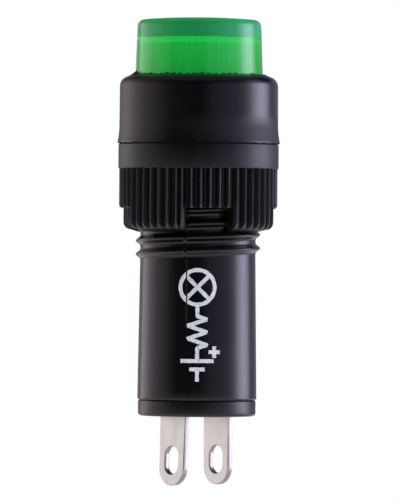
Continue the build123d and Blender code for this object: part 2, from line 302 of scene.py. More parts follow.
def paleFloor():
    # Matt white paper: it takes the lamp's shadow nearby and fades to plain white further off.
    material, tree, where = startMaterial("paleFloor")
    fromLamp = addNode(tree, "ShaderNodeVectorMath", {"operation": "LENGTH"}, {0: (where, "Object")})
    far = addNode(tree, "ShaderNodeMapRange",
                  {"From Min": studio["near"] * mm, "From Max": studio["far"] * mm,
                   "To Min": studio["nearShare"]}, {"Value": (fromLamp, "Value")})
    share = addNode(tree, "ShaderNodeMath", {"operation": "MULTIPLY"},
                    {0: (seenShare(tree), 0), 1: (far, "Result")})
    matte = addNode(tree, "ShaderNodeBsdfDiffuse", {"Color": studio["floor"]})
    white = addNode(tree, "ShaderNodeEmission", {"Strength": 1.0})
    mixed = addNode(tree, "ShaderNodeMixShader", None, {0: (share, 0), 1: (matte, 0), 2: (white, 0)})
    addNode(tree, "ShaderNodeOutputMaterial", None, {"Surface": (mixed, 0)})
    return material


# the floor is one flat quad
side = np.array([-1.0, 1.0]) * studio["size"] / 2
floorGrid = np.stack([*np.meshgrid(side, side), np.full((2, 2), studio["depth"])], -1)
floorPiece = buildSurface("studioFloor", floorGrid, wrapRows=False, wrapColumns=False)
floorPiece.data.materials.append(paleFloor())

scene.world = bpy.data.worlds.new("studio")
scene.world.use_nodes = True
sky = scene.world.node_tree
sky.nodes.clear()
soft = addNode(sky, "ShaderNodeBackground", {"Color": studio["sky"], "Strength": studio["skyLevel"]})
bright = addNode(sky, "ShaderNodeBackground", {"Color": "#FFFFFF", "Strength": 1.0})
mixed = addNode(sky, "ShaderNodeMixShader", None, {0: (seenShare(sky), 0), 1: (soft, 0), 2: (bright, 0)})
addNode(sky, "ShaderNodeOutputWorld", None, {"Surface": (mixed, 0)})
print("camera, light and floor set")


# Finishes

blackLook = {
    "dark": "#0E0F11", "pale": "#141517", "rubbedAndHighlight": "#5A5B5E",
    "blotchMm": 2.4, "dustMm": 0.16, "dust": 0.05, "dustFrom": 0.66, "dustFull": 0.8, "wearAndHighlight": 0.25,
    "roughness": 0.2, "wornRoughness": 0.25, "matting": 0.34,
    "grainMm": 0.12, "grain": 0.16, "grainHeight": 0.02, "dullGrain": 2.5, "ior": 1.5,
}


def mouldedAbs(name, look):
    # Injection-moulded black ABS: near black, with a satin sheen that the mould's fine grain breaks up.
    # Handling leaves faint grey on its crests and a little dust in its hollows; where the grey is strong, on
    # the nut's rib crests, it is also a painted highlight.
    material, tree, where = startMaterial(name)
    blotch = addNode(tree, "ShaderNodeTexNoise", {"Scale": patternScale(look["blotchMm"]), "Detail": 4.0},
                     {"Vector": (where, "Object")})
    base = addNode(tree, "ShaderNodeMix", {"data_type": "RGBA", 6: look["dark"], 7: look["pale"]},
                   {0: (blotch, "Fac")})
    specks = addNode(tree, "ShaderNodeTexNoise", {"Scale": patternScale(look["dustMm"]), "Detail": 2.0},
                     {"Vector": (where, "Object")})
    dust = addNode(tree, "ShaderNodeMapRange",
                   {"From Min": look["dustFrom"], "From Max": look["dustFull"], "To Max": look["dust"]},
                   {"Value": (specks, "Fac")})
    wearAndHighlight = addNode(tree, "ShaderNodeAttribute", {"attribute_name": "wearAndHighlight"})
    worn = addNode(tree, "ShaderNodeMath", {"operation": "MULTIPLY_ADD", 1: look["wearAndHighlight"]},
                   {0: (wearAndHighlight, "Fac"), 2: (dust, "Result")})
    color = addNode(tree, "ShaderNodeMix", {"data_type": "RGBA", 7: look["rubbedAndHighlight"]},
                    {0: (worn, 0), 6: (base, 2)})
    roughness = addNode(tree, "ShaderNodeMapRange",
                        {"To Min": look["roughness"] - 0.05, "To Max": look["roughness"] + 0.07},
                        {"Value": (blotch, "Fac")})
    dull = addNode(tree, "ShaderNodeAttribute", {"attribute_name": "dull"})
    matted = addNode(tree, "ShaderNodeMath", {"operation": "MULTIPLY_ADD", 1: look["matting"]},
                     {0: (dull, "Fac"), 2: (roughness, "Result")})
    rougher = addNode(tree, "ShaderNodeMath", {"operation": "MULTIPLY_ADD", 1: look["wornRoughness"]},
                      {0: (worn, 0), 2: (matted, 0)})
    grain = addNode(tree, "ShaderNodeTexNoise",
                    {"Scale": patternScale(look["grainMm"]), "Detail": 3.0, "Roughness": 0.6},
                    {"Vector": (where, "Object")})
    rough = addNode(tree, "ShaderNodeMath", {"operation": "MULTIPLY_ADD", 1: look["dullGrain"], 2: 1.0},
                    {0: (dull, "Fac")})
    height = addNode(tree, "ShaderNodeMath", {"operation": "MULTIPLY"}, {0: (grain, "Fac"), 1: (rough, 0)})
    bump = addNode(tree, "ShaderNodeBump", {"Strength": look["grain"], "Distance": look["grainHeight"] * mm},
                   {"Height": (height, 0)})
    shader = addNode(tree, "ShaderNodeBsdfPrincipled", {"IOR": look["ior"]},
                     {"Base Color": (color, 2), "Roughness": (rougher, 0), "Normal": (bump, 0)})
    addNode(tree, "ShaderNodeOutputMaterial", None, {"Surface": (shader, 0)})
    return material


satinAbs = mouldedAbs("satinAbs", blackLook)
# the nut's strong grey on its rib crests is partly wear and partly a painted highlight
nutAbs = mouldedAbs("nutAbs", {
    **blackLook, "rubbedAndHighlight": "#75767A", "roughness": 0.17, "wearAndHighlight": 0.95, "grain": 0.14,
})
plugAbs = mouldedAbs("plugAbs", {**blackLook, "roughness": 0.3, "pale": "#17181A"})

acrylicIor = 1.49
acrylicLook = {
    "surface": "#FFFFFF", "depthColor": "#2CE68A", "density": 230.0, "shadow": "#BDF2D2",
    "waveMm": 1.6, "waves": 0.1, "waveHeight": 0.02, "smoothest": 0.05, "roughest": 0.12,
    "endHaze": "#46E49A", "endHazeLight": "#54ECA8", "endShare": 0.8,
    "sideHaze": "#24A84C", "sideShare": 0.25, "hazeThrough": 0.3,
}


def clearAcrylic(name, look):
    # Green acrylic, polished in the mould: it darkens with the depth that is looked through.
    # Its dye scatters a little, most in the thick end wall, which reads as an even teal haze.
    material, tree, where = startMaterial(name)
    waves = addNode(tree, "ShaderNodeTexNoise", {"Scale": patternScale(look["waveMm"]), "Detail": 2.0},
                    {"Vector": (where, "Object")})
    bump = addNode(tree, "ShaderNodeBump", {"Strength": look["waves"], "Distance": look["waveHeight"] * mm},
                   {"Height": (waves, "Fac")})
    roughness = addNode(tree, "ShaderNodeMapRange",
                        {"To Min": look["smoothest"], "To Max": look["roughest"]},
                        {"Value": (waves, "Fac")})
    thick = addNode(tree, "ShaderNodeAttribute", {"attribute_name": "thick"})
    clear = addNode(tree, "ShaderNodeBsdfPrincipled",
                    {"Base Color": look["surface"], "IOR": acrylicIor, "Transmission Weight": 1.0},
                    {"Normal": (bump, 0), "Roughness": (roughness, "Result")})
    endMilk = addNode(tree, "ShaderNodeMix",
                      {"data_type": "RGBA", 6: look["endHaze"], 7: look["endHazeLight"]},
                      {0: (waves, "Fac")})
    milk = addNode(tree, "ShaderNodeMix", {"data_type": "RGBA", 6: look["sideHaze"]},
                   {0: (thick, "Fac"), 7: (endMilk, 2)})
    scatter = addNode(tree, "ShaderNodeBsdfPrincipled", {"IOR": acrylicIor},
                      {"Base Color": (milk, 2), "Normal": (bump, 0), "Roughness": (roughness, "Result")})
    through = addNode(tree, "ShaderNodeBsdfTranslucent", None, {"Color": (milk, 2)})
    cloudy = addNode(tree, "ShaderNodeMixShader", {0: look["hazeThrough"]},
                     {1: (scatter, 0), 2: (through, 0)})
    share = addNode(tree, "ShaderNodeMapRange", {"To Min": look["sideShare"], "To Max": look["endShare"]},
                    {"Value": (thick, "Fac")})
    shader = addNode(tree, "ShaderNodeMixShader", None,
                     {0: (share, "Result"), 1: (clear, 0), 2: (cloudy, 0)})
    depth = addNode(tree, "ShaderNodeVolumeAbsorption",
                    {"Color": look["depthColor"], "Density": look["density"]})
    rays = addNode(tree, "ShaderNodeLightPath")
    shade = addNode(tree, "ShaderNodeBsdfTransparent", {"Color": look["shadow"]})
    mixed = addNode(tree, "ShaderNodeMixShader", None,
                    {0: (rays, "Is Shadow Ray"), 1: (shader, 0), 2: (shade, 0)})
    addNode(tree, "ShaderNodeOutputMaterial", None, {"Surface": (mixed, 0), "Volume": (depth, 0)})
    return material


boreLook = {
    "deep": "#5CF07E", "light": "#6CF690", "streakMm": 0.22, "upright": 0.05,
    "streakFrom": 0.35, "streakFull": 0.65, "roughness": 0.5, "through": 0.25,
    # the emission colour and strengths here paint a glow on the bore: painted light, stronger on its rounded
    # end
    "paintedGlowColor": "#28D066", "glow": 0.38, "paintedRimGlow": 0.66, "faintest": 0.93, "strongest": 1.07,
}


def frostedBore(name, look):
    # The same acrylic with a drawn, spark-eroded bore: it scatters the light in fine upright streaks.
    # An emission paints the bore as a bright green core, brightest at its rounded end: an even painted
    # green glow, with a painted highlight on that end.
    material, tree, where = startMaterial(name)
    upright = addNode(tree, "ShaderNodeMapping", {"Scale": (1.0, 1.0, look["upright"])},
                      {"Vector": (where, "Object")})
    streaks = addNode(tree, "ShaderNodeTexNoise", {"Scale": patternScale(look["streakMm"]), "Detail": 3.0},
                      {"Vector": (upright, 0)})
    drawn = addNode(tree, "ShaderNodeMapRange",
                    {"From Min": look["streakFrom"], "From Max": look["streakFull"]},
                    {"Value": (streaks, "Fac")})
    color = addNode(tree, "ShaderNodeMix", {"data_type": "RGBA", 6: look["deep"], 7: look["light"]},
                    {0: (drawn, "Result")})
    shader = addNode(tree, "ShaderNodeBsdfPrincipled", {"IOR": acrylicIor, "Roughness": look["roughness"]},
                     {"Base Color": (color, 2)})
    through = addNode(tree, "ShaderNodeBsdfTranslucent", None, {"Color": (color, 2)})
    mixed = addNode(tree, "ShaderNodeMixShader", {0: look["through"]}, {1: (shader, 0), 2: (through, 0)})
    # painted glow: emission on the bore, stronger where its end is rounded, a painted highlight there
    rim = addNode(tree, "ShaderNodeAttribute", {"attribute_name": "thick"})
    strength = addNode(tree, "ShaderNodeMapRange", {"To Min": look["glow"], "To Max": look["paintedRimGlow"]},
                       {"Value": (rim, "Fac")})
    uneven = addNode(tree, "ShaderNodeMapRange", {"To Min": look["faintest"], "To Max": look["strongest"]},
                     {"Value": (drawn, "Result")})
    power = addNode(tree, "ShaderNodeMath", {"operation": "MULTIPLY"},
                    {0: (strength, "Result"), 1: (uneven, "Result")})
    glow = addNode(tree, "ShaderNodeEmission", {"Color": look["paintedGlowColor"]}, {"Strength": (power, 0)})
    lit = addNode(tree, "ShaderNodeAddShader", None, {0: (mixed, 0), 1: (glow, 0)})
    addNode(tree, "ShaderNodeOutputMaterial", None, {"Surface": (lit, 0)})
    return material


greenAcrylic = clearAcrylic("greenAcrylic", acrylicLook)
boreFrost = frostedBore("boreFrost", boreLook)

bladeLook = {
    "plate": "#ECEDE4", "dull": "#DADACF",
    "brass": "#9C7F52", "bare": 0.8, "bareFrom": 0.2, "bareFull": 0.55,
    "sheared": "#B4B2AC", "shearedDark": "#94918A", "streakMm": 0.2, "upright": 0.12, "stainMm": 0.7,
    "roughness": 0.34, "streaks": 0.15, "streakHeight": 0.01,
}


def platedBrass(name, look):
    # Blanked brass with a thin tin plate: warm grey, brushed by handling, bare brass on the cut edges.
    material, tree, where = startMaterial(name)
    stretch = addNode(tree, "ShaderNodeMapping", {"Scale": (1.0, 1.0, look["upright"])},
                      {"Vector": (where, "Object")})
    streaks = addNode(tree, "ShaderNodeTexNoise", {"Scale": patternScale(look["streakMm"]), "Detail": 4.0},
                      {"Vector": (stretch, 0)})
    stain = addNode(tree, "ShaderNodeTexNoise", {"Scale": patternScale(look["stainMm"]), "Detail": 3.0},
                    {"Vector": (where, "Object")})
    plate = addNode(tree, "ShaderNodeMix", {"data_type": "RGBA", 6: look["plate"], 7: look["dull"]},
                    {0: (stain, "Fac")})
    cut = addNode(tree, "ShaderNodeAttribute", {"attribute_name": "cut"})
    ragged = addNode(tree, "ShaderNodeMath", {"operation": "MULTIPLY"}, {0: (cut, "Fac"), 1: (stain, "Fac")})
    bare = addNode(tree, "ShaderNodeMapRange",
                   {"From Min": look["bareFrom"], "From Max": look["bareFull"], "To Max": look["bare"]},
                   {"Value": (ragged, 0)})
    rimmed = addNode(tree, "ShaderNodeMix", {"data_type": "RGBA", 7: look["brass"]},
                     {0: (bare, "Result"), 6: (plate, 2)})
    torn = addNode(tree, "ShaderNodeMix", {"data_type": "RGBA", 6: look["sheared"], 7: look["shearedDark"]},
                   {0: (streaks, "Fac")})
    wall = addNode(tree, "ShaderNodeAttribute", {"attribute_name": "wall"})
    color = addNode(tree, "ShaderNodeMix", {"data_type": "RGBA"},
                    {0: (wall, "Fac"), 6: (rimmed, 2), 7: (torn, 2)})
    roughness = addNode(tree, "ShaderNodeMapRange",
                        {"To Min": look["roughness"] - 0.06, "To Max": look["roughness"] + 0.1},
                        {"Value": (streaks, "Fac")})
    bump = addNode(tree, "ShaderNodeBump",
                   {"Strength": look["streaks"], "Distance": look["streakHeight"] * mm},
                   {"Height": (streaks, "Fac")})
    shader = addNode(tree, "ShaderNodeBsdfPrincipled", {"Metallic": 1.0},
                     {"Base Color": (color, 2), "Roughness": (roughness, "Result"), "Normal": (bump, 0)})
    addNode(tree, "ShaderNodeOutputMaterial", None, {"Surface": (shader, 0)})
    return material


tinnedBlade = platedBrass("tinnedBlade", bladeLook)

inkLook = {
    "full": "#F0F8FA", "thin": "#A8B4BA", "mottleMm": 0.14, "coverFrom": 0.32, "coverFull": 0.5,
    "roughness": 0.55, "ior": 1.45, "film": 0.2, "filmHeight": 0.01, "paintedGlowStrength": 0.45,
}


def padPrintInk(name, look):
    # White pad-print ink: a thin matt film, slightly thin and worn where the barrel's grain stands up.
    # An emission of the ink's own colour paints it brighter: a painted glow.
    material, tree, where = startMaterial(name)
    thin = addNode(tree, "ShaderNodeTexNoise", {"Scale": patternScale(look["mottleMm"]), "Detail": 4.0},
                   {"Vector": (where, "Object")})
    cover = addNode(tree, "ShaderNodeMapRange",
                    {"From Min": look["coverFrom"], "From Max": look["coverFull"]},
                    {"Value": (thin, "Fac")})
    color = addNode(tree, "ShaderNodeMix", {"data_type": "RGBA", 6: look["thin"], 7: look["full"]},
                    {0: (cover, "Result")})
    bump = addNode(tree, "ShaderNodeBump", {"Strength": look["film"], "Distance": look["filmHeight"] * mm},
                   {"Height": (thin, "Fac")})
    # painted glow: the ink's colour is also emitted
    shader = addNode(tree, "ShaderNodeBsdfPrincipled",
                     {"Roughness": look["roughness"], "IOR": look["ior"],
                      "Emission Strength": look["paintedGlowStrength"]},
                     {"Base Color": (color, 2), "Emission Color": (color, 2), "Normal": (bump, 0)})
    addNode(tree, "ShaderNodeOutputMaterial", None, {"Surface": (shader, 0)})
    return material


whiteInk = padPrintInk("whiteInk", inkLook)


def plainFinish(name, look):
    # Small inner pieces: a base colour with a paler mottle, their own gloss and a fine bump.
    material, tree, where = startMaterial(name)
    mottle = addNode(tree, "ShaderNodeTexNoise", {"Scale": patternScale(look["mottleMm"]), "Detail": 3.0},
                     {"Vector": (where, "Object")})
    color = addNode(tree, "ShaderNodeMix", {"data_type": "RGBA", 6: look["base"], 7: look["worn"]},
                    {0: (mottle, "Fac")})
    bump = addNode(tree, "ShaderNodeBump", {"Strength": look["bump"], "Distance": 0.02 * mm},
                   {"Height": (mottle, "Fac")})
    roughness = addNode(tree, "ShaderNodeMapRange",
                        {"To Min": look["roughness"] - 0.05, "To Max": look["roughness"] + 0.08},
                        {"Value": (mottle, "Fac")})
    shader = addNode(tree, "ShaderNodeBsdfPrincipled",
                     {"Metallic": look.get("metallic", 0.0), "Transmission Weight": look.get("clear", 0.0)},
                     {"Base Color": (color, 2), "Roughness": (roughness, "Result"), "Normal": (bump, 0)})
    addNode(tree, "ShaderNodeOutputMaterial", None, {"Surface": (shader, 0)})
    return material


innerFinishes = {
    "gasketRubber": {"base": "#0C0C0D", "worn": "#1D1D1E", "mottleMm": 0.1, "roughness": 0.75, "bump": 0.5},
    "diffusedEpoxy": {"base": "#2FA14C", "worn": "#3DB45B", "mottleMm": 0.6, "roughness": 0.2, "bump": 0.05,
                      "clear": 0.4},
    "tinnedLead": {"base": "#CFCDC8", "worn": "#A9A7A2", "mottleMm": 0.3, "roughness": 0.3, "bump": 0.2,
                   "metallic": 1.0},
    "goldDie": {"base": "#C9B98A", "worn": "#9C8E66", "mottleMm": 0.1, "roughness": 0.3, "bump": 0.1,
                "metallic": 1.0},
    "naturalNylon": {"base": "#E3E1D6", "worn": "#D2CFC2", "mottleMm": 0.8, "roughness": 0.5, "bump": 0.15},
    "tanLacquer": {"base": "#C8AE82", "worn": "#B89B6C", "mottleMm": 0.5, "roughness": 0.3, "bump": 0.1},
    "softVinyl": {"base": "#1B1B1D", "worn": "#28282B", "mottleMm": 0.6, "roughness": 0.45, "bump": 0.15},
    "brightSolder": {"base": "#D4D6D8", "worn": "#A4A7AA", "mottleMm": 0.4, "roughness": 0.22, "bump": 0.4,
                     "metallic": 1.0},
}
finishes = {name: plainFinish(name, look) for name, look in innerFinishes.items()}
innerNodes = {
    "diffusedEpoxy": ["led_body"],
    "goldDie": ["led_die"],
    "tinnedLead": ["led_anode_lead", "led_cathode_lead", "resistor_upper_lead", "resistor_lower_lead"],
    "naturalNylon": ["led_holder"],
    "tanLacquer": ["resistor_body"],
    "softVinyl": ["positive_lead_sleeve", "negative_lead_sleeve"],
    "brightSolder": ["splice_solder", "positive_solder", "negative_solder"],
}
for finishName, nodeNames in innerNodes.items():
    for nodeName in nodeNames:
        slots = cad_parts[nodeName].data.materials
        slots.clear()
        slots.append(finishes[finishName])
print("finishes ready")


# Thread, shared by the barrel and the nut

thread = {
    "pitch": 1.06, "root": 4.54, "crest": 4.9, "halfFoot": 0.44, "sharpness": 1.25,
    "end": -8.9, "endAngle": 139.0, "turns": 8.2, "runOut": 0.08, "clearance": 0.09, "grooveShare": 0.85,
    # where rows stand across one pitch, closer at the crest
    "phases": (
        -0.5, -0.4, -0.31, -0.24, -0.18, -0.12, -0.07, -0.02, 0.02, 0.07, 0.12, 0.18, 0.24, 0.31, 0.4,
    ),
}


def crestTurns(angles, heights):
    # turns along the right-hand helix from its lower end, for a point's angle and height
    return (heights - thread["end"]) / thread["pitch"] - (np.degrees(angles) - thread["endAngle"]) / 360


def ridgeHeight(offset):
    # a bell over the distance from the crest: half a cosine, raised to a power to sharpen it
    near = np.clip(np.abs(offset) / thread["halfFoot"], 0, 1)
    return (0.5 + 0.5 * np.cos(math.pi * near)) ** thread["sharpness"]


# Housing: head, threaded grip and plain barrel in one moulding

housing = {
    "headTop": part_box("housing")[1][2] / mm, "barrelEnd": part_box("housing")[0][2] / mm,
    "headRadius": 6.23, "shoulderRadius": 6.25, "headCorner": 0.8, "crownSlope": 16.0, "lipCorner": 0.05,
    "flareRadius": 6.4, "flareHeight": 1.45,
    "rootRadius": 4.54, "gripTop": -0.04, "gripEnd": thread["end"] - 0.55,
    "barrelTop": thread["end"] - 0.6, "barrelStep": 0.005, "endRadius": 4.69, "endCorner": 0.16,
    "boreRadius": 3.6, "seatRadius": 5.06, "seatHeight": 1.2,
    "lipHeight": 0.13, "lipReach": 0.12, "flashAngle": -163.0, "flashHeight": 0.3, "flashWidth": 5.0,
    "footRagged": 0.075, "footReach": 0.1,
    "partingAngle": -100.6, "partingWidth": 0.05, "partingRise": 0.055, "partingWander": 0.06,
    "nickDepth": 0.7, "nickWidth": 0.11, "nickAside": 0.12,
    "dullTop": 2.3, "dullFade": 1.1, "dullAngle": -30.0, "dullLeft": -150.0, "dullLeftShare": 0.6,
    "columns": 240, "partingSpan": 1.6, "partingColumns": 9,
    "cornerRows": 12, "sideRows": 9, "flareRows": 12, "barrelRows": 14,
}


def housingAngles():
    # even columns, with closer ones at the two parting lines
    even = np.linspace(0, 360, housing["columns"], endpoint=False)
    near = np.linspace(-housing["partingSpan"], housing["partingSpan"], housing["partingColumns"])
    extra = np.concatenate([housing["partingAngle"] + near, housing["partingAngle"] + 180 + near])
    return np.radians(np.unique(np.round(np.concatenate([even, extra % 360]), 4)))


def makeHousing():
    # One closed (r, z) profile carried round the axis. The threaded rows climb by one pitch in a turn, so
    # the crest runs along a row, and r = root + ridge(distance from the crest); at the seam each of these
    # rows meets the one a turn above. Parting line, nicks and ragged edges are added as narrow bells.
    h = housing
    top = h["headTop"]
    crownFall = (h["headRadius"] - h["seatRadius"]) * math.tan(math.radians(h["crownSlope"]))
    headSide = roundedPath([
        (h["seatRadius"], h["seatHeight"], 0),
        (h["seatRadius"], top, h["lipCorner"]),
        (h["headRadius"], top - crownFall, h["headCorner"]),
        (h["shoulderRadius"], h["flareHeight"], 0),
    ], h["cornerRows"])
    # rows down the head's side let its dull patch fade over a short way
    wall = np.linspace(0, 1, h["sideRows"])[1:, None]
    headSide = np.concatenate([headSide[:-1], headSide[-2] + (headSide[-1] - headSide[-2]) * wall])
    drop = np.linspace(0, 1, h["flareRows"])[1:]
    flareReach = h["flareRadius"] - h["shoulderRadius"]
    flare = np.stack([h["shoulderRadius"] + flareReach * drop ** 2, h["flareHeight"] * (1 - drop)], 1)
    upper = np.concatenate([headSide, flare, [[h["rootRadius"], 0.0]]])
    plain = roundedPath([
        (h["rootRadius"] + h["barrelStep"], h["barrelTop"], 0),
        (h["endRadius"], h["barrelEnd"], h["endCorner"]),
        (h["boreRadius"], h["barrelEnd"], 0),
        (h["boreRadius"], h["seatHeight"], 0),
        (h["seatRadius"], h["seatHeight"], 0),
    ], 5)[:-1]
    # rows down the plain barrel carry its parting line
    barrel = np.linspace(0, 1, h["barrelRows"])[1:-1, None]
    plain = np.concatenate([plain[:1], plain[0] + (plain[1] - plain[0]) * barrel, plain[1:]])

    angles = housingAngles()
    columns = len(angles)
    phases = np.array(thread["phases"])
    turnCount = int((h["gripTop"] - h["gripEnd"]) / thread["pitch"]) + 2
    steps = (np.arange(turnCount)[:, None] + phases[None, :]).reshape(-1)[::-1]
    lowest = thread["end"] - thread["pitch"] * (1 + thread["endAngle"] / 360)
    climb = np.degrees(angles) / 360 * thread["pitch"]
    gripZ = lowest + steps[:, None] * thread["pitch"] + climb[None, :]
    gripZ = np.clip(gripZ, h["gripEnd"], h["gripTop"])
    gripZ = np.concatenate([np.full((1, columns), h["gripTop"]), gripZ, np.full((1, columns), h["gripEnd"])])
    gripR = np.full(gripZ.shape, h["rootRadius"])
    heights = np.concatenate([spread(upper[:, 1], columns), gripZ, spread(plain[:, 1], columns)])
    radius = np.concatenate([spread(upper[:, 0], columns), gripR, spread(plain[:, 0], columns)])
    turnGrid = np.repeat(angles[None, :], len(radius), 0)
    first, last = len(upper), len(upper) + len(gripZ)
    seam = np.arange(len(radius))
    seam[first + 1:last - 1] = np.maximum(seam[first + 1:last - 1] - len(phases), first)

    turn = crestTurns(turnGrid, heights)
    offset = (turn - np.round(turn)) * thread["pitch"]
    along = np.round(turn) + (np.degrees(turnGrid) - thread["endAngle"]) / 360    # turns from its lower end
    fade = np.clip(along / thread["runOut"], 0, 1)
    fade = fade * np.clip((thread["turns"] - along) / thread["runOut"], 0, 1)
    ridge = (thread["crest"] - thread["root"]) * ridgeHeight(offset) * fade
    grip = np.zeros(radius.shape, bool)
    grip[first:last] = True

    # the mould's two halves meet in a hair line, which also nicks the thread
    away = (np.degrees(turnGrid) - h["partingAngle"] + 90) % 180 - 90
    away = np.radians(away) * h["rootRadius"]
    away = away + h["partingWander"] * smoothNoise(heights * 3.7, 1.1)
    line = bell(away, h["partingWidth"]) * (0.55 + 0.45 * smoothNoise(heights * 7.3, 0.4))
    nick = 1 - h["nickDepth"] * bell(away + h["nickAside"], h["nickWidth"])
    outside = (radius > h["boreRadius"] + 0.2) & (heights < -0.1)
    radius = radius + np.where(grip, ridge * nick, 0) + np.where(outside, line * h["partingRise"], 0)

    # the lip round the lens is ragged, and so is the foot of the head, where the mould's flash was trimmed
    lip = bell(radius - h["seatRadius"] - 0.1, h["lipReach"]) * (heights > top - 0.3)
    teeth = 0.5 * smoothNoise(turnGrid * 13, 0.9, 3) + 0.6 * smoothNoise(turnGrid * 57, 2.3, 2)
    fromFlash = (np.degrees(turnGrid) - h["flashAngle"] + 180) % 360 - 180
    flash = h["flashHeight"] * bell(fromFlash, h["flashWidth"])
    heights = heights + lip * (h["lipHeight"] * teeth + flash)
    foot = bell(heights, h["footReach"]) * (radius > h["shoulderRadius"])
    heights = heights - foot * h["footRagged"] * np.clip(smoothNoise(turnGrid * 31, 1.9, 4) + 0.2, 0, 1)
    # worn thread crests, and bright specks along the foot
    wearAndHighlight = np.where(grip, ridgeHeight(offset) ** 4 * fade * 0.5, 0.0)
    specks = np.clip(smoothNoise(turnGrid * 43, 0.3, 3) * 2.4 - 1.1, 0, 1)
    wearAndHighlight = np.where(foot > 0.5, np.maximum(wearAndHighlight, specks * 1.6), wearAndHighlight)
    # the lower right of the head and its left side are duller from handling
    right = np.clip(np.cos(turnGrid - math.radians(h["dullAngle"])) + 0.2, 0, 1)
    left = np.clip(np.cos(turnGrid - math.radians(h["dullLeft"])) * 2 - 1, 0, 1)
    dull = np.clip((h["dullTop"] - heights) / h["dullFade"], 0, 1) * right
    dull = np.where((radius > 6) & (heights > 0), np.maximum(dull, h["dullLeftShare"] * left), 0.0)
    return buildSurface("housingShell", turned(radius, turnGrid, heights),
                        attributes={"wearAndHighlight": wearAndHighlight, "dull": dull}, seam=seam)


place(makeHousing(), "lamp", ["housing"], "black_moulding", satinAbs)
print("housing made")


# Mounting nut: collar, 52 ribs, four notches and the inner thread

nut = {
    "top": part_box("mounting_nut")[1][2] / mm, "bottom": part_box("mounting_nut")[0][2] / mm,
    "collarRadius": 6.31, "collarHeight": 1.95, "collarCorner": 0.08,
    "ribRadius": 6.24, "ribDepth": 0.44, "ribCount": 52, "ribHalfFoot": 0.31, "ribTip": 0.03,
    "acrossRib": (0.0, 0.018, 0.04, 0.07, 0.13, 0.22, 0.3, 0.376),    # mm from a rib's middle to its columns
    "endCorner": 0.62, "boreRadius": 4.75, "boreMouth": 0.25, "endBoss": 0.2,
    "notchDepth": 1.65, "notchCorner": 0.3, "notchRibs": (5.5, 7.35, 5.5, 7.08),
    "notchAngle": -81.1, "notchShift": (0.0, 0.0, 0.0, -2.9), "edgePair": 0.02,
    "leftGroup": (-112.95, -22.93), "leftShift": 2.56,    # degrees from the front notch's middle
    # the crest and end widths here set painted highlight lines on the rib crests, partly wear
    "crestWidth": 0.05, "endWearAndHighlight": 0.3, "collarRagged": 0.03, "topRagged": 0.04,
    "collarDull": 0.75, "crestDull": 0.3, "crestSpan": 0.06,
    "cornerSteps": 7, "boreRows": 90,
}


